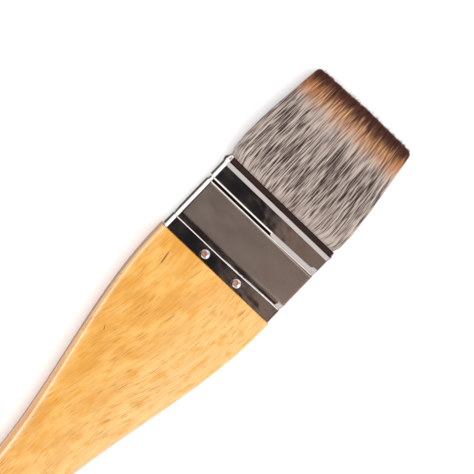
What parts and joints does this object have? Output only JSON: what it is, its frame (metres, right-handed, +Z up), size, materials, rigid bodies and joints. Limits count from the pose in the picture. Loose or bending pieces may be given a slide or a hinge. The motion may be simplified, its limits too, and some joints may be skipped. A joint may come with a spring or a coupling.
{
  "type": "flat wash paint brush",
  "caption": "Wide flat artist's brush: lacquered paddle handle with a hanging hole, nailed metal ferrule with pressed grooves, and a straight-cut tuft of soft hair that springs back.",
  "frame": {"origin": "under the middle of the brush's box, on the plane that the brush lies on", "axes": "+X along the brush towards the hair tips, +Y across its width, +Z up out of its front face"},
  "size_m": [0.2298, 0.0516, 0.012],
  "materials": {
    "lacquered_wood": "yellow-orange clear gloss lacquer over fine-grained wood",
    "nickel_plate": "bright nickel plate on thin sheet",
    "nail_metal": "dull reddish coppered nail head",
    "resin": "set epoxy resin",
    "strip_wood": "bare wood strip",
    "hair": "mottled grey synthetic hair with an orange band and dark brown tips"
  },
  "bodies": {
    "brush": {"handle": "lacquered_wood", "ferrule": "nickel_plate", "nail_front_left": "nail_metal", "nail_front_right": "nail_metal", "nail_back_left": "nail_metal", "nail_back_right": "nail_metal", "resin_block": "resin", "divider_strip": "strip_wood", "hair_root_front": "hair", "hair_root_back": "hair"},
    "tuft": {"hair_front": "hair", "hair_back": "hair"}
  },
  "joints": [
    {"name": "hair_flex", "type": "hinge", "parent": "brush", "child": "tuft", "pos_m": [0.072, 0, 0.006], "axis": [0, 1, 0], "range_deg": [-30, 30], "stiffness_Nm_per_rad": 0.2}
  ]
}
